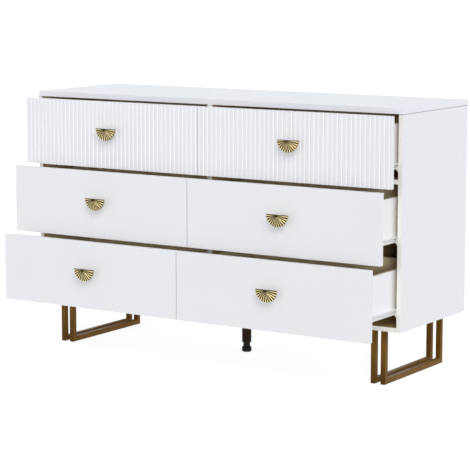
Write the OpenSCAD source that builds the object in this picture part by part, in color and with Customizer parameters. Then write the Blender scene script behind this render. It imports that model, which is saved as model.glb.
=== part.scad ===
// Dresser with six drawers in two columns, standing on two U-shaped leg frames
// and a centre support leg. Millimetres. +X is to the right seen from the front,
// the drawer fronts face -Y, +Z is up and the floor is z = 0. The origin is under
// the centre leg, in the middle of the cabinet's plan. The drawers stand open.

/* [Cabinet] */
// Width over the two side panels
body_w = 1200; // [900:10:1500]
// Depth from the panels' front edges to the back panel's rear face
body_d = 380; // [370:1:480]
// Height from the underside of the bottom panel to the top surface
body_h = 590; // [560:5:760]
// Height from the floor to the underside of the bottom panel
leg_h = 150; // [110:5:260]

/* [Boards] */
// Thickness of the top panel
top_t = 15; // [12:1:25]
// Thickness of each side panel
side_t = 12; // [10:1:22]
// Thickness of the bottom panel
bottom_t = 12; // [12:1:22]
// Thickness of the centre divider
divider_t = 15; // [15:1:25]
// Thickness of the back panel
back_t = 3; // [2:0.5:6]
// How far the back panel stays inside the outer edges of the sides and bottom
back_inset = 2; // [0:0.5:6]
// Thickness of the rail under each top drawer
rail_t = 12; // [8:1:16]
// Front-to-back depth of that rail
rail_d = 60; // [30:5:120]
// Height of the rail's underside above the lower edge of the top drawer fronts
rail_lift = 7; // [4:0.5:12]

/* [Drawer fronts] */
// Thickness of a drawer front
front_t = 15; // [12:1:22]
// Gap between a drawer front and the one below it
row_gap = 4; // [2:0.5:8]
// Gap between the left and the right drawer fronts
column_gap = 3; // [2:0.5:8]
// Gap between the top drawer fronts and the underside of the top panel
top_reveal = 1.5; // [1:0.5:6]
// How far a front stops short of the cabinet's side
side_reveal = 1; // [0:0.5:4]
// Gap between a closed drawer front and the cabinet
front_seat = 0.5; // [0.3:0.1:3]

/* [Flutes of the top drawer fronts] */
// Distance from one flute to the next
flute_pitch = 14; // [9:0.5:30]
// Radius of the round cutter that makes a flute
flute_r = 2.25; // [2:0.25:4]
// Depth of a flute
flute_depth = 1.5; // [0.5:0.1:4]

/* [Drawer boxes] */
// Thickness of the drawer sides and back
box_t = 12; // [10:1:16]
// Height of the drawer sides and back
box_h = 118; // [80:1:125]
// Height of the box's lower edge above the lower edge of its front
box_lift = 46; // [34:1:50]
// Thickness of the drawer bottom
base_t = 3; // [3:0.5:6]
// Height of the drawer bottom above the box's lower edge
base_lift = 10; // [6:1:20]
// Depth of the groove that holds the drawer bottom
groove_d = 6; // [3:0.5:7]

/* [Drawer travel] */
// How far the top drawers stand open
open_top = 44; // [0:1:250]
// How far the middle drawers stand open
open_middle = 97; // [0:1:250]
// How far the bottom drawers stand open
open_bottom = 150; // [0:1:250]
// Distance a drawer runs from closed to its stop
travel = 255; // [250:1:265]

/* [Roller slides] */
// Length of both halves of a slide, and of the drawer box
runner_l = 350; // [340:1:365]
// Gap beside the drawer box that a slide fills
runner_gap = 12.5; // [12.5:0.1:14]
// Thickness of the slide's sheet steel
sheet_t = 1.2; // [1:0.1:1.4]
// Radius of a roller
roller_r = 11; // [10:0.25:11.5]
// Width of a roller
roller_w = 6.5; // [5:0.25:7]
// Radius of a roller's axle
axle_r = 3; // [2:0.25:3.5]
// Height of the running flange's underside above the box's lower edge
flange_z = 12.8; // [11:0.1:14]
// How far the cabinet half stands back from the cabinet's front edge
runner_setback = 2; // [1:0.5:6]

/* [Leg frames] */
// Side of the square leg tube
tube_s = 15; // [12:1:25]
// Wall of the square leg tube
tube_wall = 1.2; // [1:0.1:2]
// Distance from one U frame to its twin
frame_pitch = 30; // [26:1:60]
// Distance from the cabinet's side to the outer face of the outer U frame
frame_side_inset = 55; // [30:1:200]
// Distance from the cabinet's front and back to the U frames
frame_end_inset = 22; // [10:1:80]
// Thickness of the mounting plates
plate_t = 3; // [2:0.5:5]
// Width of a mounting plate
plate_w = 90; // [80:1:140]
// Front-to-back depth of a mounting plate
plate_d = 50; // [40:1:80]
// Radius of the vent hole over each tube
vent_r = 2.5; // [1:0.5:4]

/* [Centre leg] */
// Radius of the centre leg's tube
post_r = 13.5; // [12:0.5:25]
// Wall of the centre leg's tube
post_wall = 1.5; // [1:0.1:2]
// Height of the tube's lower end above the floor
post_gap = 28; // [26:1:40]
// Side of the square flange on top of the centre leg
flange_s = 64; // [60:1:100]
// Radius of the foot's glide
glide_r = 14; // [13:0.5:25]
// Height of the foot's glide
glide_h = 14; // [8:1:16]
// Radius of the foot's neck
neck_r = 10; // [8:0.5:10.5]
// Radius of the foot's stud
stud_r = 5; // [4:0.5:6]
// How far the foot can be screwed up into the tube
foot_travel = 12; // [6:1:14]

/* [Knobs] */
// Radius of the half-moon fan
fan_r = 33.5; // [24:0.5:50]
// Height of the middle of a fan above the middle of its drawer front
knob_lift = 3; // [-20:1:20]
// Number of ribs of the fan
fan_ribs = 13; // [7:2:15]
// Height of the fan's middle above its back
fan_crown = 9; // [7:0.5:12]
// Height of the fan's rim above its back
fan_rim = 4; // [3:0.5:6]
// Radius of the hollow that the ribs start from
fan_hollow_r = 4.5; // [3:0.5:6]
// Depth of that hollow
fan_hollow_depth = 3; // [1:0.5:4]
// Distance from the drawer front to the back of the fan
stem_l = 18; // [8:1:25]
// Radius of the stem
stem_r = 5; // [4:0.5:6]
// Distance from the fan's flat edge down to the stem
stem_drop = 12; // [8:1:16]

/* [Fasteners] */
// Radius of the screws in the mounting plates
plate_screw_r = 2.5; // [2:0.25:3]
// Radius of the screws that hold the slides
runner_screw_r = 1.9; // [1.5:0.1:2.5]
// Depth of the slide screws in the panel
runner_screw_l = 6; // [4:0.5:6.5]
// Radius of the machine screw in a knob
knob_screw_r = 2; // [1.5:0.25:2.5]
// Radius of a cam lock
cam_r = 7.5; // [6:0.5:8]
// Radius of a cam lock's bolt
cam_bolt_r = 3; // [2:0.25:3.5]

/* [Clearances] */
// Radial gap between a roller and its axle
axle_fit = 0.05; // [0.02:0.01:0.1]
// Gap between a roller and the flange that runs on it
roll_fit = 0.05; // [0.02:0.01:0.2]
// Radial gap around a screw or bolt in its hole
screw_fit = 0.05; // [0.02:0.01:0.2]
// Gap above and around the drawer bottom in its grooves
groove_fit = 0.1; // [0.05:0.05:0.3]
// Radial gap between the foot's stud and its nut
stud_fit = 0.05; // [0.02:0.01:0.1]

/* [Hidden] */
$fn = 48;
eps = 0.01;
ROWS = [0, 1, 2];
SIDES = [-1, 1];
ROW_NAMES = ["top", "middle", "bottom"];
DRAWER_PARTS = ["front", "sides", "back", "bottom", "knob", "runners", "front_rollers", "rear_rollers"];
CABINET_PARTS = [
    "top_panel", "left_side_panel", "right_side_panel", "centre_divider", "bottom_panel", "back_panel",
    "front_rails", "cabinet_slides", "leg_frames", "centre_leg", "centre_leg_foot", "assembly_fasteners"
];
function side_name(s) = s < 0 ? "left" : "right";
function drawer_node(r, s, part) = str(ROW_NAMES[r], "_", side_name(s), "_drawer_", part);

// Colours
WHITE = [0.93, 0.93, 0.95];
BRASS = [0.80, 0.66, 0.35];
BRONZE = [0.47, 0.31, 0.10];
DARK_BRONZE = [0.20, 0.12, 0.05];
BLACK = [0.08, 0.08, 0.08];
ZINC = [0.70, 0.71, 0.73];
EPOXY = [0.90, 0.90, 0.90];
FIBREBOARD = [0.80, 0.76, 0.68];

// Cabinet: planes and bays
front_y = -body_d / 2;
board_d = body_d - back_t;
floor_z = leg_h + bottom_t;
ceiling_z = leg_h + body_h - top_t;
inner_h = ceiling_z - floor_z;
bay_in = divider_t / 2;
bay_w = body_w / 2 - side_t - bay_in;
bay_x = bay_in + bay_w / 2;

// Drawer fronts: size and place
front_w = body_w / 2 - side_reveal - column_gap / 2;
front_x = column_gap / 2 + front_w / 2;
front_h = (body_h - top_t - top_reveal - 2 * row_gap) / 3;
OPEN = [open_top, open_middle, open_bottom];
function front_z(r) = leg_h + (2 - r) * (front_h + row_gap);
function front_back_y(r) = front_y - front_seat - OPEN[r];
flute_count = floor((front_w - 2 * flute_r) / flute_pitch) + 1;

// Drawer boxes
box_w = bay_w - 2 * runner_gap;
box_in_w = box_w - 2 * box_t;
front_groove_d = groove_d - 1;
function box_z(r) = front_z(r) + box_lift;

// Roller slides, measured from the drawer side's outer face and lower edge
web_u = runner_gap - sheet_t;
axle_in = 16;
roller_u = sheet_t + 1.6;
axle_head_t = 0.8;
axle_head_r = axle_r + 1.2;
axle_shoulder_r = axle_r + 1.5;
axle_gap = 0.1;
pilot_spare = 1;
axle_z = flange_z - roll_fit - roller_r;
track_z = axle_z - roller_r - roll_fit;
track_start = axle_in + roller_r + 3;
channel_top_z = flange_z + sheet_t + 1;
running_u = runner_gap - sheet_t - 1;
lip_u = sheet_t + 1.8;
under_w = box_t - 1;
rear_cut = axle_in + roller_r + 7;
stop_h = 2;
stop_l = 3;
stop_reach = sqrt(2 * roller_r * stop_h - stop_h * stop_h);
slide_y = front_y + runner_setback;
closed_rear_axle_y = front_y - front_seat + runner_l - axle_in;
stop_y = closed_rear_axle_y - travel - stop_reach - stop_l - roll_fit;
screw_steps = [48, runner_l / 2, runner_l - 32];
runner_screw_z = axle_z + 3;
runner_head_r = 3.2;
runner_head_t = 0.8;

// Leg frames
frame_y = body_d / 2 - frame_end_inset;
frame_h = leg_h - plate_t;
frame_outer_x = body_w / 2 - frame_side_inset - tube_s / 2;
frame_inner_x = frame_outer_x - frame_pitch;
plate_x = (frame_outer_x + frame_inner_x) / 2;
plate_y = frame_y - plate_d / 2;
plate_screw_x = plate_w / 2 - 9;
plate_screw_y = plate_d / 2 - 10;
flange_screw = flange_s / 2 - 8;
plate_screw_l = 9;
plate_head_t = 2.5;
plate_head_r = 2 * plate_screw_r;

// Centre leg and foot
nut_t = 12;
neck_overlap = 4;
neck_top_z = post_gap + neck_overlap;
nut_z = neck_top_z + foot_travel + neck_overlap;
stud_spare = 10;
stud_top_z = nut_z + nut_t + stud_spare;
foot_chamfer = 2;

// Knobs
knob_z = front_h / 2 + fan_r / 2 + knob_lift;
fan_step = 180 / fan_ribs;
fan_cut_r = 1.6;
fan_cut_depth = 1.1;
groove_start = fan_cut_r / sin(fan_step / 2);
knob_screw_short = 3;
knob_screw_grip = stem_l - knob_screw_short;
knob_head_r = 4;
knob_head_t = 2.4;

// Cam locks, dowels and the screws under the divider
dowel_r = 3;
dowel_l = 14;
cam_depth = 9;
cam_inset = 34;
bolt_depth = 5.5;
cam_bolt_start = cam_r + screw_fit;
cam_ends = [-board_d / 2 + 50, board_d / 2 - 50];
floor_cam_ends = [-board_d / 2 + 110, board_d / 2 - 110];
bolt_grip = 9;
floor_bolt_grip = 7;
divider_screw_l = bottom_t + 30;
divider_head_t = 4;
divider_head_r = cam_bolt_r + 1.5;

module mirror_if(flip) mirror([flip ? 1 : 0, 0, 0]) children();

module rod_x(r, l) rotate([0, 90, 0]) cylinder(r = r, h = l);

// ---- Cabinet boards, modelled for the right-hand side and mirrored for the left

module runner_pilots(r, l) {
    for (row = ROWS, step = screw_steps)
        translate([0, slide_y + step, box_z(row) + runner_screw_z]) rod_x(r, l);
}

module rail_dowels(gap) {
    for (y = [rail_d / 4, 3 * rail_d / 4], x = [bay_in, bay_in + bay_w])
        translate([x - dowel_l / 2 - gap, front_y + y, front_z(0) + rail_lift + rail_t / 2])
            rod_x(dowel_r + gap, dowel_l + 2 * gap);
}

module top_panel() {
    color(WHITE) difference() {
        translate([-body_w / 2, front_y, ceiling_z]) cube([body_w, body_d, top_t]);
        upright_cam_bolts(0, screw_fit);
    }
}

module side_panel(s) {
    color(WHITE) mirror_if(s < 0) difference() {
        translate([body_w / 2 - side_t, front_y, leg_h]) cube([side_t, board_d, body_h - top_t]);
        translate([body_w / 2 - side_t - eps, 0, 0])
            runner_pilots(runner_screw_r + screw_fit, runner_screw_l + pilot_spare);
        rail_dowels(screw_fit);
        side_cams(screw_fit);
        side_cam_bolts(0, screw_fit);
        floor_cam_bolts(0, screw_fit);
    }
}

module centre_divider() {
    color(WHITE) difference() {
        translate([-divider_t / 2, front_y, floor_z]) cube([divider_t, board_d, inner_h]);
        for (s = SIDES) mirror_if(s < 0) {
            translate([divider_t / 2 - runner_screw_l - pilot_spare, 0, 0])
                runner_pilots(runner_screw_r + screw_fit, runner_screw_l + pilot_spare + eps);
            rail_dowels(screw_fit);
        }
        divider_screws(screw_fit);
        divider_cams(screw_fit);
        divider_cam_bolts(0, screw_fit);
    }
}

module bottom_panel() {
    color(WHITE) difference() {
        translate([-body_w / 2 + side_t, front_y, leg_h]) cube([body_w - 2 * side_t, board_d, bottom_t]);
        at_plate_screws() cylinder(r = plate_screw_r + screw_fit, h = plate_screw_l + pilot_spare);
        divider_screws(screw_fit);
        for (s = SIDES) mirror_if(s < 0) {
            floor_cams(screw_fit);
            floor_cam_bolts(0, screw_fit);
        }
    }
}

module back_panel() {
    color(FIBREBOARD)
        translate([-body_w / 2 + back_inset, body_d / 2 - back_t, leg_h + back_inset])
            cube([body_w - 2 * back_inset, back_t, body_h - top_t - back_inset]);
}

module front_rails() {
    color(WHITE) for (s = SIDES) mirror_if(s < 0) difference() {
        translate([bay_in, front_y, front_z(0) + rail_lift]) cube([bay_w, rail_d, rail_t]);
        rail_dowels(screw_fit);
    }
}

// ---- Drawer boxes, modelled in the right-hand column

module base_slab(r, gap) {
    reach = groove_d - groove_fit + gap;
    y0 = front_back_y(r) - front_groove_d + groove_fit - gap;
    y1 = front_back_y(r) + runner_l - box_t + reach;
    translate([bay_x - box_in_w / 2 - reach, y0, box_z(r) + base_lift])
        cube([box_in_w + 2 * reach, y1 - y0, base_t + gap]);
}

module flutes(r) {
    first_x = front_x - (flute_count - 1) * flute_pitch / 2;
    cutter_y = front_back_y(r) - front_t - flute_r + flute_depth;
    for (i = [0 : flute_count - 1])
        translate([first_x + i * flute_pitch, cutter_y, front_z(r) - eps])
            cylinder(r = flute_r, h = front_h + 2 * eps);
}

module drawer_front(r, s) {
    color(WHITE) mirror_if(s < 0) difference() {
        translate([column_gap / 2, front_back_y(r) - front_t, front_z(r)])
            cube([front_w, front_t, front_h]);
        base_slab(r, groove_fit);
        at_stem(r) translate([0, 0, -front_t - eps])
            cylinder(r = knob_screw_r + screw_fit, h = front_t + 2 * eps);
        if (r == 0) flutes(r);
    }
}

module drawer_sides(r, s) {
    color(WHITE) mirror_if(s < 0) difference() {
        for (x = [bay_x - box_w / 2, bay_x + box_w / 2 - box_t])
            translate([x, front_back_y(r), box_z(r)]) cube([box_t, runner_l, box_h]);
        base_slab(r, groove_fit);
    }
}

module drawer_back(r, s) {
    color(WHITE) mirror_if(s < 0) difference() {
        translate([bay_x - box_in_w / 2, front_back_y(r) + runner_l - box_t, box_z(r)])
            cube([box_in_w, box_t, box_h]);
        base_slab(r, groove_fit);
    }
}

module drawer_bottom(r, s) {
    color(FIBREBOARD) mirror_if(s < 0) base_slab(r, 0);
}

// ---- Knobs

function crown_height(x) = fan_rim + (fan_crown - fan_rim) * (1 - pow(x / fan_r, 2));

module fan_profile() {
    steps = 12;
    polygon(concat(
        [[0, 0], [fan_r, 0]],
        [for (i = [0 : steps]) let (x = fan_r * (1 - i / steps)) [x, crown_height(x)]]
    ));
}

module fan() {
    slope = atan((crown_height(groove_start) - fan_rim) / (fan_r - groove_start));
    difference() {
        rotate([0, 0, 180]) rotate_extrude(angle = 180) fan_profile();
        for (i = [1 : fan_ribs - 1])
            rotate([0, 0, 180 + i * fan_step])
                translate([groove_start, 0, crown_height(groove_start) + fan_cut_r - fan_cut_depth])
                    rotate([0, 90 + slope, 0]) cylinder(r = fan_cut_r, h = fan_r);
        translate([0, 0, fan_crown - fan_hollow_depth])
            cylinder(r = fan_hollow_r, h = fan_hollow_depth + eps);
    }
}

module at_stem(r) {
    translate([front_x, front_back_y(r) - front_t, front_z(r) + knob_z - stem_drop])
        rotate([90, 0, 0]) children();
}

module drawer_knob(r, s) {
    color(BRASS) mirror_if(s < 0) at_stem(r) difference() {
        union() {
            translate([0, stem_drop, stem_l]) fan();
            cylinder(r = stem_r, h = stem_l + eps);
        }
        translate([0, 0, -eps]) cylinder(r = knob_screw_r + screw_fit, h = knob_screw_grip + pilot_spare);
    }
    color(ZINC) mirror_if(s < 0) at_stem(r) {
        translate([0, 0, -front_t]) cylinder(r = knob_screw_r, h = front_t + knob_screw_grip);
        translate([0, 0, -front_t - knob_head_t]) cylinder(r = knob_head_r, h = knob_head_t);
    }
}

// ---- Roller slides

module at_slides(r, s) {
    mirror_if(s < 0) translate([bay_x, 0, box_z(r)])
        for (hand = SIDES) mirror_if(hand < 0) translate([box_w / 2, 0, 0]) children();
}

module roller() {
    difference() {
        rod_x(roller_r, roller_w);
        translate([-eps, 0, 0]) rod_x(axle_r + axle_fit, roller_w + 2 * eps);
    }
}

module cabinet_slide() {
    roller_end = roller_u + roller_w;
    translate([web_u, slide_y, track_z - sheet_t])
        cube([sheet_t, runner_l, channel_top_z + 2 * sheet_t - track_z]);
    translate([lip_u, slide_y + track_start, track_z - sheet_t])
        cube([runner_gap - lip_u, runner_l - track_start, sheet_t]);
    translate([lip_u, slide_y, channel_top_z]) cube([runner_gap - lip_u, runner_l, sheet_t]);
    translate([lip_u, stop_y, track_z - sheet_t]) cube([runner_gap - lip_u, stop_l, stop_h + sheet_t]);
    translate([0, slide_y + axle_in, axle_z]) {
        translate([roller_end + axle_gap, 0, 0]) rod_x(axle_shoulder_r, web_u - roller_end);
        translate([roller_u - axle_gap - axle_head_t, 0, 0]) rod_x(axle_r, web_u - roller_u + 1);
        translate([roller_u - axle_gap - axle_head_t, 0, 0]) rod_x(axle_head_r, axle_head_t);
    }
}

module cabinet_slides() {
    color(EPOXY) for (r = ROWS, s = SIDES) difference() {
        at_slides(r, s) cabinet_slide();
        at_slides(r, s) for (step = screw_steps)
            translate([web_u - eps, slide_y + step, runner_screw_z])
                rod_x(runner_screw_r + screw_fit, sheet_t + 2 * eps);
    }
}

module drawer_slide(r) {
    y0 = front_back_y(r);
    roller_end = roller_u + roller_w;
    translate([0, y0, -sheet_t]) cube([sheet_t, runner_l, flange_z + 2 * sheet_t]);
    translate([-under_w, y0, -sheet_t]) cube([under_w + sheet_t, runner_l, sheet_t]);
    translate([0, y0, flange_z]) cube([running_u, runner_l - rear_cut, sheet_t]);
    translate([0, y0 + runner_l - axle_in, axle_z]) {
        translate([eps, 0, 0]) rod_x(axle_shoulder_r, roller_u - axle_gap);
        translate([eps, 0, 0]) rod_x(axle_r, roller_end + axle_gap);
        translate([roller_end + axle_gap, 0, 0]) rod_x(axle_head_r, axle_head_t);
    }
}

module drawer_runners(r, s) {
    color(EPOXY) at_slides(r, s) drawer_slide(r);
}

module front_rollers(r, s) {
    color(WHITE) at_slides(r, s) translate([roller_u, slide_y + axle_in, axle_z]) roller();
}

module rear_rollers(r, s) {
    color(WHITE) at_slides(r, s)
        translate([roller_u, front_back_y(r) + runner_l - axle_in, axle_z]) roller();
}

// ---- Leg frames, each two U frames of square tube welded to two plates

module tube_outline(inset, reach) {
    y = frame_y - inset;
    z = inset;
    top = frame_h + reach;
    inner = tube_s - inset;
    polygon([
        [-y, z], [y, z], [y, top], [frame_y - inner, top],
        [frame_y - inner, inner], [-frame_y + inner, inner], [-frame_y + inner, top], [-y, top]
    ]);
}

module u_frame() {
    rotate([90, 0, 90]) difference() {
        translate([0, 0, -tube_s / 2]) linear_extrude(tube_s) tube_outline(0, eps);
        translate([0, 0, -tube_s / 2 + tube_wall])
            linear_extrude(tube_s - 2 * tube_wall) tube_outline(tube_wall, 2 * eps);
    }
}

module at_plates() {
    for (s = SIDES, end = SIDES)
        translate([s * plate_x, end * plate_y, frame_h]) children();
}

module at_plate_screws() {
    at_plates() for (x = SIDES, y = SIDES)
        translate([x * plate_screw_x, y * plate_screw_y, plate_t]) children();
    for (x = SIDES, y = SIDES)
        translate([x * flange_screw, y * flange_screw, leg_h]) children();
}

module leg_frames() {
    color(BRONZE) for (s = SIDES) difference() {
        union() {
            for (x = [frame_outer_x, frame_inner_x]) translate([s * x, 0, 0]) u_frame();
            for (end = SIDES)
                translate([s * plate_x - plate_w / 2, end * plate_y - plate_d / 2, frame_h])
                    cube([plate_w, plate_d, plate_t]);
        }
        for (x = [frame_outer_x, frame_inner_x], end = SIDES)
            translate([s * x, end * (frame_y - tube_s / 2), frame_h - tube_s])
                cylinder(r = vent_r, h = tube_s + plate_t + eps);
        at_plate_screws() translate([0, 0, -plate_t - eps])
            cylinder(r = plate_screw_r + screw_fit, h = plate_t + 2 * eps);
    }
}

// ---- Centre leg and its screw-in foot

module centre_leg() {
    color(DARK_BRONZE) difference() {
        union() {
            translate([0, 0, post_gap]) cylinder(r = post_r, h = frame_h - post_gap + eps);
            translate([-flange_s / 2, -flange_s / 2, frame_h]) cube([flange_s, flange_s, plate_t]);
        }
        translate([0, 0, post_gap - eps])
            cylinder(r = post_r - post_wall, h = nut_z - post_gap + eps);
        translate([0, 0, nut_z - eps]) cylinder(r = stud_r + stud_fit, h = nut_t + 2 * eps);
        translate([0, 0, nut_z + nut_t])
            cylinder(r = post_r - post_wall, h = leg_h - nut_z - nut_t + eps);
        at_plate_screws() translate([0, 0, -plate_t - eps])
            cylinder(r = plate_screw_r + screw_fit, h = plate_t + 2 * eps);
    }
}

module centre_leg_foot() {
    c = foot_chamfer;
    color(BLACK) rotate_extrude() polygon([
        [0, 0], [glide_r - c, 0], [glide_r, c], [glide_r, glide_h - c],
        [neck_r + c, glide_h], [neck_r, glide_h + c], [neck_r, neck_top_z],
        [stud_r, neck_top_z], [stud_r, stud_top_z], [0, stud_top_z]
    ]);
}

// ---- Fasteners that hold the cabinet together

module at_side_cams() {
    for (y = cam_ends)
        translate([body_w / 2 - side_t, y - back_t / 2, ceiling_z - cam_inset]) children();
}

module side_cams(gap) {
    at_side_cams() translate([-gap, 0, 0]) rod_x(cam_r + gap, cam_depth + 2 * gap);
}

module cam_bolt(start, gap, grip) {
    translate([0, 0, start]) cylinder(r = cam_bolt_r + gap, h = cam_inset + grip + gap - start);
}

module side_cam_bolts(start, gap) {
    at_side_cams() translate([bolt_depth, 0, 0]) cam_bolt(start, gap, bolt_grip);
}

module at_divider_cams() {
    for (y = cam_ends)
        translate([divider_t / 2, y - back_t / 2, ceiling_z - cam_inset]) children();
}

module divider_cams(gap) {
    at_divider_cams() translate([-cam_depth - gap, 0, 0]) rod_x(cam_r + gap, cam_depth + 2 * gap);
}

module divider_cam_bolts(start, gap) {
    at_divider_cams() translate([-bolt_depth, 0, 0]) cam_bolt(start, gap, bolt_grip);
}

module upright_cam_bolts(start, gap) {
    for (s = SIDES) mirror_if(s < 0) side_cam_bolts(start, gap);
    divider_cam_bolts(start, gap);
}

module at_floor_cams() {
    for (y = floor_cam_ends)
        translate([body_w / 2 - side_t - cam_inset, y, leg_h]) children();
}

module floor_cams(gap) {
    at_floor_cams() translate([0, 0, -gap]) cylinder(r = cam_r + gap, h = cam_depth + 2 * gap);
}

module floor_cam_bolts(start, gap) {
    at_floor_cams() translate([0, 0, bolt_depth]) rotate([0, 90, 0]) cam_bolt(start, gap, floor_bolt_grip);
}

module divider_screws(gap) {
    for (y = cam_ends) translate([0, y - back_t / 2, leg_h - gap]) {
        cylinder(r = cam_bolt_r + gap, h = divider_screw_l + 2 * gap);
        cylinder(r = divider_head_r + gap, h = divider_head_t + 2 * gap);
    }
}

module runner_screws() {
    for (r = ROWS, s = SIDES) at_slides(r, s) for (step = screw_steps)
        translate([0, slide_y + step, runner_screw_z]) {
            translate([web_u - runner_head_t, 0, 0]) rod_x(runner_head_r, runner_head_t);
            translate([web_u - eps, 0, 0]) rod_x(runner_screw_r, sheet_t + runner_screw_l);
        }
}

module plate_screws() {
    at_plate_screws() {
        translate([0, 0, -plate_t]) cylinder(r = plate_screw_r, h = plate_t + plate_screw_l);
        translate([0, 0, -plate_t - plate_head_t]) cylinder(r = plate_head_r, h = plate_head_t);
    }
}

module assembly_fasteners() {
    color(ZINC) {
        plate_screws();
        runner_screws();
        divider_screws(0);
        divider_cams(0);
        upright_cam_bolts(cam_bolt_start, 0);
        for (s = SIDES) mirror_if(s < 0) {
            rail_dowels(0);
            side_cams(0);
            floor_cams(0);
            floor_cam_bolts(cam_bolt_start, 0);
        }
    }
}

// ---- One line for each node

top_panel();
side_panel(-1);  // left_side_panel
side_panel(1);  // right_side_panel
centre_divider();
bottom_panel();
back_panel();
front_rails();
cabinet_slides();
leg_frames();
centre_leg();
centre_leg_foot();
assembly_fasteners();
for (r = ROWS, s = SIDES) {
    drawer_front(r, s);
    drawer_sides(r, s);
    drawer_back(r, s);
    drawer_bottom(r, s);
    drawer_knob(r, s);
    drawer_runners(r, s);
    front_rollers(r, s);
    rear_rollers(r, s);
}
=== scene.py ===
import math
import bmesh
import bpy
from mathutils import Matrix, Vector


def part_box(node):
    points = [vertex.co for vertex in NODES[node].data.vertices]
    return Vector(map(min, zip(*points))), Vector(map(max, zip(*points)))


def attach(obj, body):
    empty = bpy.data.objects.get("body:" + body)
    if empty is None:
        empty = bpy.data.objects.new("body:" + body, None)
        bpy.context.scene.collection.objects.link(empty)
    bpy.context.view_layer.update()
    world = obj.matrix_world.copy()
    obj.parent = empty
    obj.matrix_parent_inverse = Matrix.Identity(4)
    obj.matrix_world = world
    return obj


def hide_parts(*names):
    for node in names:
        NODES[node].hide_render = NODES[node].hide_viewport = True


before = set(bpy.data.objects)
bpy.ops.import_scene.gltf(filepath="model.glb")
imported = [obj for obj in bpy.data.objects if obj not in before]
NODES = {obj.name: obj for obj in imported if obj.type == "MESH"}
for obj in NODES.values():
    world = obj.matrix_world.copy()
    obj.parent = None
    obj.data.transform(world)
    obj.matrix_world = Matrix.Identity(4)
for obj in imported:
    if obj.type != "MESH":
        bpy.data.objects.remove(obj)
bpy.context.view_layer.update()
MM = 0.001

ROWS = ("top", "middle", "bottom")
SIDES = ("left", "right")
DRAWERS = [f"{row}_{side}_drawer" for row in ROWS for side in SIDES]

# ---- Camera

CAMERA_PLACE = Vector((2.884, -4.498, 1.127))
CAMERA_YAW = 33.03
CAMERA_PITCH = -8.39
CAMERA_LENS = 144.5


def make_camera():
    data = bpy.data.cameras.new("camera")
    camera = bpy.data.objects.new("camera", data)
    bpy.context.scene.collection.objects.link(camera)
    data.sensor_width = 36.0
    data.lens = CAMERA_LENS
    data.clip_start = 0.1
    data.clip_end = 100.0
    camera.location = CAMERA_PLACE
    camera.rotation_euler = (math.radians(90 + CAMERA_PITCH), 0, math.radians(CAMERA_YAW))
    bpy.context.scene.camera = camera


# ---- Materials

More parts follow.
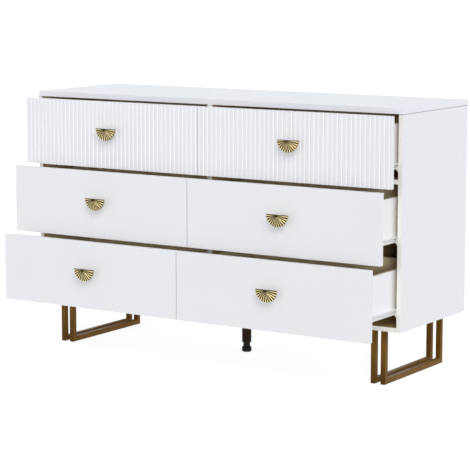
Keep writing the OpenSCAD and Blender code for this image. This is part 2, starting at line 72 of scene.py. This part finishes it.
class Shader:
    """A Principled material and short ways to feed its sockets from the piece's own coordinates."""

    def __init__(self, name, metallic=0.0, coat=0.0, coat_roughness=0.1, specular=0.5):
        self.material = bpy.data.materials.new(name)
        self.material.use_nodes = True
        self.nodes = self.material.node_tree.nodes
        self.links = self.material.node_tree.links
        self.shader = self.nodes["Principled BSDF"]
        self.place = self.nodes.new("ShaderNodeTexCoord").outputs["Object"]
        self.set("Metallic", metallic)
        self.set("Coat Weight", coat)
        self.set("Coat Roughness", coat_roughness)
        self.set("Specular IOR Level", specular)

    def set(self, socket, value):
        self.shader.inputs[socket].default_value = value

    def noise(self, scale, detail=2.0, roughness=0.5, stretch=None):
        node = self.nodes.new("ShaderNodeTexNoise")
        node.inputs["Scale"].default_value = scale
        node.inputs["Detail"].default_value = detail
        node.inputs["Roughness"].default_value = roughness
        source = self.place
        if stretch:
            mapping = self.nodes.new("ShaderNodeMapping")
            mapping.inputs["Scale"].default_value = stretch
            self.links.new(source, mapping.inputs["Vector"])
            source = mapping.outputs["Vector"]
        self.links.new(source, node.inputs["Vector"])
        return node.outputs["Fac"]

    def spread(self, value, low, high, start=0.3, end=0.7):
        node = self.nodes.new("ShaderNodeMapRange")
        node.inputs["From Min"].default_value = start
        node.inputs["From Max"].default_value = end
        node.inputs["To Min"].default_value = low
        node.inputs["To Max"].default_value = high
        self.links.new(value, node.inputs["Value"])
        return node.outputs["Result"]

    def mix(self, factor, a, b):
        node = self.nodes.new("ShaderNodeMix")
        node.data_type = "RGBA"
        for socket, colour in (("A", a), ("B", b)):
            target = [s for s in node.inputs if s.name == socket and s.type == "RGBA"][0]
            if hasattr(colour, "links"):
                self.links.new(colour, target)
            else:
                target.default_value = (*colour, 1.0)
        self.links.new(factor, node.inputs["Factor"])
        return [s for s in node.outputs if s.type == "RGBA"][0]

    def colour(self, socket):
        self.links.new(socket, self.shader.inputs["Base Color"])

    def rough(self, value, low, high):
        self.links.new(self.spread(value, low, high), self.shader.inputs["Roughness"])

    def bump(self, height, strength, distance):
        node = self.nodes.new("ShaderNodeBump")
        node.inputs["Strength"].default_value = strength
        node.inputs["Distance"].default_value = distance
        self.links.new(height, node.inputs["Height"])
        self.links.new(node.outputs["Normal"], self.shader.inputs["Normal"])

    def facing(self, axis):
        """1 where the piece's own surface looks along an axis, either way, and 0 elsewhere."""
        normal = self.nodes.new("ShaderNodeTexCoord").outputs["Normal"]
        split = self.nodes.new("ShaderNodeSeparateXYZ")
        self.links.new(normal, split.inputs[0])
        return self.spread(self.math("ABSOLUTE", split.outputs[axis]), 0.0, 1.0, 0.9, 0.97)

    def math(self, operation, value, amount=0.0):
        node = self.nodes.new("ShaderNodeMath")
        node.operation = operation
        self.links.new(value, node.inputs[0])
        node.inputs[1].default_value = amount
        return node.outputs[0]

    def within(self, axis, limit, centre=0.0, width=0.0005):
        """1 nearer than the limit to the plane at the centre, or to that plane's mirror image."""
        split = self.nodes.new("ShaderNodeSeparateXYZ")
        self.links.new(self.place, split.inputs[0])
        aside = self.math("SUBTRACT", self.math("ABSOLUTE", split.outputs[axis]), centre)
        return self.spread(self.math("ABSOLUTE", aside), 1.0, 0.0, limit - width, limit)

    def beyond(self, axis, limit, width=0.001):
        """1 where the coordinate along an axis is more than the limit."""
        split = self.nodes.new("ShaderNodeSeparateXYZ")
        self.links.new(self.place, split.inputs[0])
        return self.spread(split.outputs[axis], 0.0, 1.0, limit - width, limit)

    def attribute(self, name):
        node = self.nodes.new("ShaderNodeAttribute")
        node.attribute_name = name
        return node.outputs["Fac"]


def lacquer(name, tone, shade, edge=None, inside=None, inside_of=None, painted_seam_shade_of=None):
    """White lacquered board: a faint drift of tone and fine orange peel. The front edge has edge banding,
    inside_of(shader) gives where the board has the plain foil of the cabinet's inside, and the last such
    function where a grey line of painted shade darkens the joint with the board above."""
    s = Shader(name, coat=0.25, coat_roughness=0.12)
    body = s.mix(s.spread(s.noise(3.0), 0.0, 1.0), tone, shade)
    if inside:
        foil = s.mix(s.spread(s.noise(220.0, 4.0, 0.6, (1.0, 0.3, 1.0)), 0.0, 1.0), inside, INSIDE_SHADE)
        body = s.mix(inside_of(s), body, foil)
    if edge:
        body = s.mix(s.facing("Y"), body, edge)
    # Painted shade: a grey line along the top of the board stands in for the shadow in the joint with the board
    # above.
    if painted_seam_shade_of:
        body = s.mix(painted_seam_shade_of(s), body, PAINTED_SEAM_SHADE)
    s.colour(body)
    s.rough(s.noise(40.0), 0.30, 0.38)
    s.bump(s.noise(650.0, 3.0), 0.05, 0.0002)
    return s.material


def melamine(name, tone, shade, outer=None, inside_of=None):
    """Foil on the drawer boxes: matt, with a faint paper grain. The outer faces may have a colour of their own,
    where inside_of(shader) gives 0."""
    s = Shader(name)
    body = s.mix(s.spread(s.noise(260.0, 4.0, 0.6, (1.0, 0.25, 1.0)), 0.0, 1.0), tone, shade)
    if outer:
        flecks = s.spread(s.noise(320.0, 3.0), 0.0, 0.06)
        body = s.mix(inside_of(s), s.mix(flecks, outer, shade), body)
    s.colour(body)
    s.rough(s.noise(90.0), 0.48, 0.58)
    s.bump(s.noise(900.0, 4.0, 0.6), 0.12, 0.0002)
    return s.material


def fibreboard(name, tone, shade, inside=None, outside_of=None):
    """Thin pressed board: clouds of tone, short fibres and a dry, uneven surface. It may have another colour
    where outside_of(shader) gives 0."""
    s = Shader(name)
    fibres = s.noise(180.0, 6.0, 0.7, (1.0, 1.0, 3.5))
    clouds = s.mix(s.spread(s.noise(9.0, 5.0, 0.6), 0.0, 0.7), tone, shade)
    body = s.mix(s.spread(fibres, 0.0, 0.8, 0.38, 0.66), clouds, shade)
    if inside:
        body = s.mix(outside_of(s), s.mix(s.spread(fibres, 0.0, 0.3), inside, shade), body)
    s.colour(body)
    s.rough(fibres, 0.68, 0.86)
    s.bump(fibres, 0.35, 0.0003)
    return s.material


def powder_coat(name, tone, shade, metallic, low, high, specular=0.5, strength=0.12):
    """Sprayed paint on steel: a fine even grain, slightly uneven gloss."""
    s = Shader(name, metallic=metallic, specular=specular)
    s.colour(s.mix(s.spread(s.noise(14.0, 3.0), 0.0, 1.0), tone, shade))
    s.rough(s.noise(55.0, 3.0), low, high)
    s.bump(s.noise(1400.0, 2.0), strength, 0.0002)
    return s.material


def cast_brass():
    """Polished ribs, with dark patina left in the grooves."""
    s = Shader("cast_brass", metallic=1.0)
    worn = s.mix(s.spread(s.noise(120.0, 4.0), 0.0, 1.0), (1.0, 0.87, 0.51), (0.92, 0.74, 0.34))
    patina = s.spread(s.attribute("groove"), 0.0, 1.0, 0.10, 0.40)
    s.colour(s.mix(patina, worn, (0.055, 0.032, 0.008)))
    s.rough(s.attribute("groove"), 0.20, 0.55)
    s.bump(s.noise(700.0, 3.0), 0.10, 0.0002)
    return s.material


def plated_steel():
    """Zinc-plated steel with a fine brushed gloss."""
    s = Shader("zinc_plated_steel", metallic=1.0)
    s.colour(s.mix(s.spread(s.noise(300.0, 4.0), 0.0, 1.0), (0.62, 0.62, 0.63), (0.78, 0.77, 0.74)))
    s.rough(s.noise(800.0, 3.0, 0.6, (1.0, 1.0, 0.2)), 0.28, 0.45)
    s.bump(s.noise(1600.0), 0.08, 0.0001)
    return s.material


def nylon():
    """White moulded nylon that lets a little light in."""
    s = Shader("white_nylon")
    s.set("Subsurface Weight", 0.05)
    s.set("Subsurface Scale", 0.002)
    s.colour(s.mix(s.spread(s.noise(150.0), 0.0, 1.0), (0.84, 0.84, 0.81), (0.90, 0.90, 0.88)))
    s.rough(s.noise(400.0), 0.34, 0.44)
    s.bump(s.noise(1200.0), 0.05, 0.0001)
    return s.material


WHITE = (0.86, 0.87, 0.90)
WHITE_SHADE = (0.84, 0.85, 0.885)
BAND = (0.84, 0.83, 0.79)
INSIDE = (0.60, 0.45, 0.23)
INSIDE_SHADE = (0.52, 0.38, 0.18)
# Grey of the painted shade line in the joint under the top.
PAINTED_SEAM_SHADE = (0.30, 0.30, 0.31)
BACK_INSIDE = (0.34, 0.22, 0.085)
BOX = (0.82, 0.70, 0.48)
BOX_SHADE = (0.76, 0.64, 0.42)


SIDE_MIDDLE = (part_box("right_side_panel")[0].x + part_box("right_side_panel")[1].x) / 2
# Where the painted shade line along the top edge of the side boards begins.
SEAM_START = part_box("right_side_panel")[1].z - 1.3 * MM
FLOOR_MIDDLE = (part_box("bottom_panel")[0].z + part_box("bottom_panel")[1].z) / 2
BACK_MIDDLE = (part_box("back_panel")[0].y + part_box("back_panel")[1].y) / 2
BOX_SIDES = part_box("top_right_drawer_sides")
BOX_MIDDLE = (BOX_SIDES[0].x + BOX_SIDES[1].x) / 2
BOX_REACH = (BOX_SIDES[1].x - BOX_SIDES[0].x) / 2 - 0.4 * MM

MATERIALS = {
    # The top's bluer white than the sides is painted light: it stands in for the cool light that falls on it from
    # above.
    "top": lacquer("white_top", (0.855, 0.87, 0.925), (0.84, 0.855, 0.91)),
    # The side boards carry a painted shade line along their top edge, in the joint under the top.
    "side": lacquer(
        "white_side", WHITE, WHITE_SHADE, BAND, INSIDE,
        lambda s: s.within("X", SIDE_MIDDLE), lambda s: s.beyond("Z", SEAM_START)),
    "divider": lacquer("divider_board", INSIDE, INSIDE_SHADE, BAND),
    "floor": lacquer("bottom_board", WHITE, WHITE_SHADE, BAND, INSIDE, lambda s: s.beyond("Z", FLOOR_MIDDLE)),
    "front": lacquer("white_front", WHITE, WHITE_SHADE),
    "box_side": melamine(
        "drawer_side_foil", BOX, BOX_SHADE, (0.89, 0.90, 0.94), lambda s: s.within("X", BOX_REACH, BOX_MIDDLE)),
    "box": melamine("drawer_box_foil", BOX, BOX_SHADE),
    "base": fibreboard("drawer_base_board", (0.68, 0.56, 0.38), (0.60, 0.48, 0.31)),
    "back": fibreboard(
        "back_board", (0.60, 0.45, 0.27), (0.47, 0.33, 0.18), BACK_INSIDE, lambda s: s.beyond("Y", BACK_MIDDLE)),
    "epoxy": powder_coat("white_epoxy", (0.80, 0.80, 0.80), (0.84, 0.84, 0.84), 0.0, 0.36, 0.46),
    "nylon": nylon(),
    "bronze": powder_coat(
        "bronze_paint", (0.175, 0.083, 0.008), (0.135, 0.060, 0.005), 0.4, 0.44, 0.54, 0.15, strength=0.04),
    "dark": powder_coat("dark_bronze_paint", (0.022, 0.009, 0.002), (0.014, 0.006, 0.0015), 0.0, 0.42, 0.54, 0.1),
    "black": powder_coat("black_plastic", (0.006, 0.0055, 0.0055), (0.010, 0.0095, 0.009), 0.0, 0.42, 0.56, 0.15),
    "zinc": plated_steel(),
    "brass": cast_brass(),
}

# ---- CAD nodes that stay: a better material, and edges rounded as the real ones are


EDGE_ANGLE = math.radians(40)
COPLANAR_ANGLE = math.radians(0.5)
WELD_GAP = 0.01 * MM


def round_edges(piece, radius):
    bevel = piece.modifiers.new("bevel", "BEVEL")
    bevel.width = radius
    bevel.segments = 2
    bevel.limit_method = "ANGLE"
    bevel.angle_limit = EDGE_ANGLE


def dress(node, material, edge):
    """Gives a CAD node its material, and modifiers that join its flat faces and round its edges."""
    piece = NODES[node]
    piece.data.materials.clear()
    piece.data.materials.append(MATERIALS[material])
    weld = piece.modifiers.new("weld", "WELD")
    weld.merge_threshold = WELD_GAP
    flat = piece.modifiers.new("flat", "DECIMATE")
    flat.decimate_type = "DISSOLVE"
    flat.angle_limit = COPLANAR_ANGLE
    round_edges(piece, edge)
    piece.modifiers.new("normals", "WEIGHTED_NORMAL")
    for face in piece.data.polygons:
        face.use_smooth = True


CABINET_FINISH = {
    "top_panel": ("top", 1.0),
    "left_side_panel": ("side", 0.7),
    "right_side_panel": ("side", 0.7),
    "bottom_panel": ("floor", 0.7),
    "centre_divider": ("divider", 0.7),
    "front_rails": ("divider", 0.7),
    "back_panel": ("back", 0.3),
    "cabinet_slides": ("epoxy", 0.25),
    "centre_leg": ("dark", 0.5),
    "centre_leg_foot": ("black", 0.5),
    "assembly_fasteners": ("zinc", 0.2),
}
DRAWER_FINISH = {
    "front": ("front", 0.6),
    "sides": ("box_side", 0.5),
    "back": ("box", 0.5),
    "bottom": ("base", 0.3),
    "runners": ("epoxy", 0.25),
    "front_rollers": ("nylon", 0.4),
    "rear_rollers": ("nylon", 0.4),
}


def dress_nodes():
    """Each row above gives a node's material and the radius of its edges in millimetres."""
    for node, (material, edge) in CABINET_FINISH.items():
        dress(node, material, edge * MM)
    for drawer in DRAWERS:
        for part, (material, edge) in DRAWER_FINISH.items():
            dress(f"{drawer}_{part}", material, edge * MM)


# ---- New pieces


def make_piece(name, bm, material, body, replaced=(), edge=0.0):
    """Turns a bmesh into a smooth piece that rides on a body. An edge radius above 0 rounds its edges."""
    bmesh.ops.recalc_face_normals(bm, faces=bm.faces)
    mesh = bpy.data.meshes.new(name)
    bm.to_mesh(mesh)
    bm.free()
    for face in mesh.polygons:
        face.use_smooth = True
    mesh.materials.append(MATERIALS[material])
    piece = bpy.data.objects.new(name, mesh)
    bpy.context.scene.collection.objects.link(piece)
    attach(piece, body)
    if replaced:
        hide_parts(*replaced)
    if edge:
        round_edges(piece, edge)
    piece.modifiers.new("normals", "WEIGHTED_NORMAL")


def lathe(bm, profile, place, turn, steps=48):
    """Turns a profile of (radius, height) points about its own +Z, then puts it at a place."""
    rings = []
    for radius, height in profile:
        ring = []
        for i in range(steps if radius > 0 else 1):
            a = 2 * math.pi * i / steps
            local = Vector((radius * math.cos(a), radius * math.sin(a), height))
            ring.append(bm.verts.new(place + turn @ local))
        rings.append(ring)
    for low, high in zip(rings, rings[1:]):
        for i in range(steps):
            a, b = low[i % len(low)], low[(i + 1) % len(low)]
            c, d = high[(i + 1) % len(high)], high[i % len(high)]
            corners = [v for n, v in enumerate((a, b, c, d)) if v not in (a, b, c, d)[:n]]
            if len(corners) > 2:
                bm.faces.new(corners)


# ---- Knobs: a half-moon fan of ribs that spread from a hollow, on a round stem

FAN_RIBS = 13
FAN_CROWN = 9 * MM
FAN_RIM = 3.6 * MM
HOLLOW_R = 5 * MM
HOLLOW_DEPTH = 3.6 * MM
GROOVE_DEPTH = 2.4 * MM
SCALLOP = 1.1 * MM
RIB_SHARPNESS = 1.4
RIM_ROUND = 0.8 * MM
STEM_PATINA = 0.35
BACK_PATINA = 0.3
STEM_R = 5 * MM
STEM_DROP = 12 * MM
SCREW_R = 2 * MM
SCREW_HEAD_R = 4 * MM
SCREW_HEAD_T = 2.4 * MM
SCREW_STEPS = 24
STEPS_PER_RIB = 10
RADIAL_STEPS = 26
RIM_STEPS = 4


def rib_shape(angle):
    """0 in the bottom of a groove, 1 on the crest of a rib; angle runs from 0 to pi."""
    phase = angle / math.pi * FAN_RIBS
    return abs(math.sin(math.pi * phase)) ** RIB_SHARPNESS


def fan_height(radius, angle, fan_r):
    """How far the fan's face stands out from its flat back."""
    t = radius / fan_r
    dome = FAN_RIM + (FAN_CROWN - FAN_RIM) * (1 - t ** 2)
    ribbed = min(1.0, max(0.0, (t - 0.12) / 0.22))
    groove = GROOVE_DEPTH * ribbed * (1 - rib_shape(angle))
    hollow = HOLLOW_DEPTH * math.exp(-((radius / HOLLOW_R) ** 2))
    return dome - groove - hollow


def fan_groove(radius, angle, fan_r):
    """How much patina the face keeps there, from 0 to about 1."""
    t = radius / fan_r
    ribbed = min(1.0, max(0.0, (t - 0.10) / 0.12))
    worn_less = 0.16 * (1 - t)
    return max((1 - rib_shape(angle)) * ribbed, math.exp(-((radius / HOLLOW_R) ** 2))) + worn_less


def knob_mesh(centre, fan_r, stem_l):
    """The fan as a closed solid: ribbed face, rounded scalloped rim, flat top edge and flat back."""
    bm = bmesh.new()
    layer = bm.verts.layers.float.new("groove")
    count = FAN_RIBS * STEPS_PER_RIB
    columns = []
    for i in range(count + 1):
        angle = math.pi * i / count
        reach = fan_r - SCALLOP * (1 - rib_shape(angle)) * math.sin(angle)
        way = Vector((math.cos(angle), 0, -math.sin(angle)))
        column = []
        for k in range(1, RADIAL_STEPS + 1):
            radius = (reach - RIM_ROUND) * k / RADIAL_STEPS
            height = fan_height(radius, angle, fan_r)
            column.append((radius, height, fan_groove(radius, angle, fan_r)))
        edge = column[-1]
        for k in range(1, RIM_STEPS + 1):
            turn = math.pi / 2 * k / RIM_STEPS
            radius = edge[0] + RIM_ROUND * math.sin(turn)
            column.append((radius, edge[1] - RIM_ROUND * (1 - math.cos(turn)), edge[2]))
        column.append((column[-1][0], 0.0, edge[2]))
        verts = []
        for radius, height, groove in column:
            v = bm.verts.new(centre + way * radius + Vector((0, -stem_l - height, 0)))
            v[layer] = groove
            verts.append(v)
        columns.append(verts)
    top = bm.verts.new(centre + Vector((0, -stem_l - fan_height(0, 0, fan_r), 0)))
    top[layer] = 1.0
    back = bm.verts.new(centre + Vector((0, -stem_l, 0)))
    back[layer] = BACK_PATINA
    for a, b in zip(columns, columns[1:]):
        bm.faces.new((top, a[0], b[0]))
        for k in range(len(a) - 1):
            bm.faces.new((a[k], a[k + 1], b[k + 1], b[k]))
        bm.faces.new((back, b[-1], a[-1]))
    for column, flip in ((columns[0], False), (columns[-1], True)):
        ring = [top, *column, back]
        bm.faces.new(ring[::-1] if flip else ring)
    return bm


def make_knob(drawer):
    low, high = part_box(f"{drawer}_knob")
    front_low, front_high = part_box(f"{drawer}_front")
    fan_r = (high.x - low.x) / 2
    stem_l = front_low.y - low.y - FAN_CROWN
    centre = Vector(((low.x + high.x) / 2, front_low.y, high.z))
    fan = knob_mesh(centre, fan_r, stem_l)
    make_piece(f"{drawer}_fan_knob", fan, "brass", drawer, [f"{drawer}_knob"])
    stem = bmesh.new()
    outward = Matrix.Rotation(math.radians(90), 3, "X")
    foot = centre - Vector((0, 0, STEM_DROP))
    lathe(stem, [
        (0, 0), (STEM_R + 1.2 * MM, 0), (STEM_R + 1.2 * MM, 0.9 * MM), (STEM_R + 0.4 * MM, 1.6 * MM),
        (STEM_R - 0.6 * MM, 2.6 * MM), (STEM_R - 0.8 * MM, stem_l - 2 * MM), (STEM_R, stem_l + 0.2 * MM),
        (0, stem_l + 0.2 * MM)], foot, outward)
    layer = stem.verts.layers.float.new("groove")
    for v in stem.verts:
        v[layer] = STEM_PATINA
    make_piece(f"{drawer}_knob_stem", stem, "brass", drawer)
    screw = bmesh.new()
    inward = Matrix.Rotation(math.radians(-90), 3, "X")
    seat = Vector((foot.x, front_high.y, foot.z))
    lathe(screw, [
        (0, -3 * MM), (SCREW_R, -3 * MM), (SCREW_R, 0), (SCREW_HEAD_R, 0), (SCREW_HEAD_R, 0.9 * MM),
        (SCREW_HEAD_R - 0.5 * MM, 1.7 * MM), (SCREW_HEAD_R - 1.5 * MM, 2.2 * MM), (1.6 * MM, SCREW_HEAD_T),
        (1.2 * MM, 1.2 * MM), (0, 1.0 * MM)], seat, inward, SCREW_STEPS)
    make_piece(f"{drawer}_knob_screw", screw, "zinc", drawer)


# ---- Leg frames: square tube with rounded corners, mitred, and welded under its plates

TUBE_CORNER = 1.8 * MM
BEAD_R = 1.5 * MM
BEAD_GAP = 0.6 * MM
BEAD_STEP = 0.8 * MM
BEAD_RIPPLE = 0.22
BEAD_TURN = 1.9
BEAD_SIDES = 8
BEAD_SINK = 0.3 * MM
PLATE_CORNER = 6 * MM
PLATE_EDGE = 0.4 * MM
PLATE_STEPS = 6
NEAR = 0.1 * MM


def rounded_rectangle(width, depth, corner, steps=4):
    """The outline of a rectangle with round corners, as (x, y) points about its centre."""
    outline = []
    for quarter in range(4):
        cx = (width / 2 - corner) * (1 if quarter in (0, 3) else -1)
        cy = (depth / 2 - corner) * (1 if quarter in (0, 1) else -1)
        for k in range(steps + 1):
            a = math.pi / 2 * (quarter + k / steps)
            outline.append((cx + corner * math.cos(a), cy + corner * math.sin(a)))
    return outline


def bridge(bm, rings, closed=False):
    """Joins each ring of vertices to the next, and the last to the first where closed."""
    pairs = list(zip(rings, rings[1:])) + ([(rings[-1], rings[0])] if closed else [])
    for a, b in pairs:
        for i in range(len(a)):
            j = (i + 1) % len(a)
            bm.faces.new((a[i], a[j], b[j], b[i]))


def u_tube(x, half_y, top, side):
    """One U frame in the plane x: down, along the floor and up again, with mitred corners."""
    bm = bmesh.new()
    outline = rounded_rectangle(side, side, TUBE_CORNER)
    line_y = half_y - side / 2
    line_z = side / 2
    rings = []
    for y, z, out_y, out_z in (
        (-line_y, top, -1, 0), (-line_y, line_z, -1, -1), (line_y, line_z, 1, -1), (line_y, top, 1, 0)
    ):
        ring = []
        for across, outward in outline:
            offset = Vector((across, out_y * outward, out_z * outward))
            ring.append(bm.verts.new(Vector((x, y, z)) + offset))
        rings.append(ring)
    bridge(bm, rings)
    bm.faces.new(rings[0])
    bm.faces.new(rings[-1][::-1])
    return bm


def weld_bead(bm, x, y, z, side):
    """A rippled bead round the top of a tube, where it meets its plate."""
    path = rounded_rectangle(side + BEAD_GAP, side + BEAD_GAP, TUBE_CORNER)
    dense = []
    for (ax, ay), (bx, by) in zip(path, path[1:] + path[:1]):
        steps = max(1, round(math.hypot(bx - ax, by - ay) / BEAD_STEP))
        dense += [(ax + (bx - ax) * k / steps, ay + (by - ay) * k / steps) for k in range(steps)]
    rings = []
    for i, (px, py) in enumerate(dense):
        out = Vector((px, py, 0)).normalized()
        swell = BEAD_R * (1 + BEAD_RIPPLE * math.sin(i * BEAD_TURN))
        ring = []
        for k in range(BEAD_SIDES):
            a = 2 * math.pi * k / BEAD_SIDES
            ring.append(bm.verts.new(
                Vector((x + px, y + py, z)) + out * swell * math.cos(a) + Vector((0, 0, swell * math.sin(a)))))
        rings.append(ring)
    bridge(bm, rings, closed=True)


def plate_mesh(low, high):
    bm = bmesh.new()
    middle = (low + high) / 2
    outline = rounded_rectangle(high.x - low.x, high.y - low.y, PLATE_CORNER, PLATE_STEPS)
    rings = [[bm.verts.new((middle.x + px, middle.y + py, z)) for px, py in outline] for z in (low.z, high.z)]
    bridge(bm, rings)
    bm.faces.new(rings[0][::-1])
    bm.faces.new(rings[1])
    return bm


def make_leg_frames():
    """The tubes and plates take their places and sizes from the CAD mesh that they replace."""
    cad = [v.co for v in NODES["leg_frames"].data.vertices]
    low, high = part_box("leg_frames")
    floor_xs = sorted({round(p.x, 5) for p in cad if p.z < low.z + NEAR})
    side = floor_xs[1] - floor_xs[0]
    plate_tops = [(round(p.x, 5), round(p.y, 5)) for p in cad if p.z > high.z - NEAR]
    plate_end = max(x for x, y in plate_tops)
    plate_low = min(round(p.z, 5) for p in cad if abs(p.x - plate_end) < NEAR)
    inner_x = min(abs(p.x) for p in cad if p.z > plate_low - NEAR)
    inner_y = min(abs(y) for x, y in plate_tops)
    tubes = [(a + b) / 2 for a, b in zip(floor_xs[::2], floor_xs[1::2])]
    beads = bmesh.new()
    for number, x in enumerate(tubes, 1):
        tube = u_tube(x, high.y, plate_low, side)
        replaced = ["leg_frames"] if number == 1 else []
        make_piece(f"leg_tube_{number}", tube, "bronze", "cabinet", replaced)
        for end in (-1, 1):
            weld_bead(beads, x, end * (high.y - side / 2), plate_low - BEAD_SINK, side)
    make_piece("leg_welds", beads, "bronze", "cabinet")
    for number, (sx, sy) in enumerate(((-1, -1), (1, -1), (-1, 1), (1, 1)), 1):
        xs = sorted((sx * inner_x, sx * high.x))
        ys = sorted((sy * inner_y, sy * high.y))
        plate = plate_mesh(Vector((xs[0], ys[0], plate_low)), Vector((xs[1], ys[1], high.z)))
        make_piece(f"leg_plate_{number}", plate, "bronze", "cabinet", edge=PLATE_EDGE)


# ---- Floor, light and camera


FLOOR_REACH = 30.0
BACKDROP = (0.95, 0.975, 1.0, 1.0)
BACKDROP_STRENGTH = 1.1
FILL = (0.94, 0.97, 1.0, 1.0)
FILL_STRENGTH = 0.42
WARM = (1.0, 0.985, 0.96)


def make_floor():
    """A pale floor that glows a little, so that it melts into the backdrop. It throws no light on the dresser."""
    mesh = bpy.data.meshes.new("floor")
    a = FLOOR_REACH
    mesh.from_pydata([(-a, -a, 0), (a, -a, 0), (a, a, 0), (-a, a, 0)], [], [(0, 1, 2, 3)])
    floor = bpy.data.objects.new("floor", mesh)
    bpy.context.scene.collection.objects.link(floor)
    s = Shader("pale_floor", specular=0.2)
    s.colour(s.mix(s.spread(s.noise(0.6), 0.0, 1.0), (0.29, 0.29, 0.29), (0.31, 0.31, 0.31)))
    s.set("Roughness", 0.9)
    s.set("Emission Color", (1.0, 1.0, 1.0, 1.0))
    s.set("Emission Strength", 0.84)
    mesh.materials.append(s.material)
    floor.visible_diffuse = False


def sun(name, towards, share, softness, colour=(1.0, 1.0, 1.0), glints=False):
    """A soft light from a direction. Its share is the brightness that it gives a white surface that faces it,
    and glints says that it shows in gloss too."""
    data = bpy.data.lights.new(name, "SUN")
    data.energy = share * math.pi
    data.angle = math.radians(softness)
    data.color = colour
    light = bpy.data.objects.new(name, data)
    bpy.context.scene.collection.objects.link(light)
    light.visible_glossy = glints
    light.rotation_euler = Vector(towards).to_track_quat("Z", "Y").to_euler()


def make_light():
    """A bright backdrop for the camera and for gloss, a dimmer even fill for matt surfaces, and soft suns."""
    world = bpy.data.worlds.new("studio")
    world.use_nodes = True
    nodes, links = world.node_tree.nodes, world.node_tree.links
    nodes.clear()
    output = nodes.new("ShaderNodeOutputWorld")
    seen = nodes.new("ShaderNodeLightPath")
    mix = nodes.new("ShaderNodeMixShader")
    links.new(seen.outputs["Is Diffuse Ray"], mix.inputs[0])
    for socket, colour, strength in ((1, BACKDROP, BACKDROP_STRENGTH), (2, FILL, FILL_STRENGTH)):
        background = nodes.new("ShaderNodeBackground")
        background.inputs["Color"].default_value = colour
        background.inputs["Strength"].default_value = strength
        links.new(background.outputs[0], mix.inputs[socket])
    links.new(mix.outputs[0], output.inputs["Surface"])
    bpy.context.scene.world = world
    sun("key", (0.55, -0.58, 0.60), 0.36, 30.0, (1.0, 0.985, 0.965), glints=True)
    sun("front_fill", (0.54, -0.83, 0.14), 0.36, 9.0, WARM)
    sun("side_fill", (0.97, -0.10, 0.20), 0.12, 50.0)
    sun("rear_fill", (-0.45, 0.88, 0.06), 0.24, 50.0)


make_camera()
bpy.context.scene.view_settings.view_transform = "Standard"
dress_nodes()
for each in DRAWERS:
    make_knob(each)
make_leg_frames()
make_floor()
make_light()
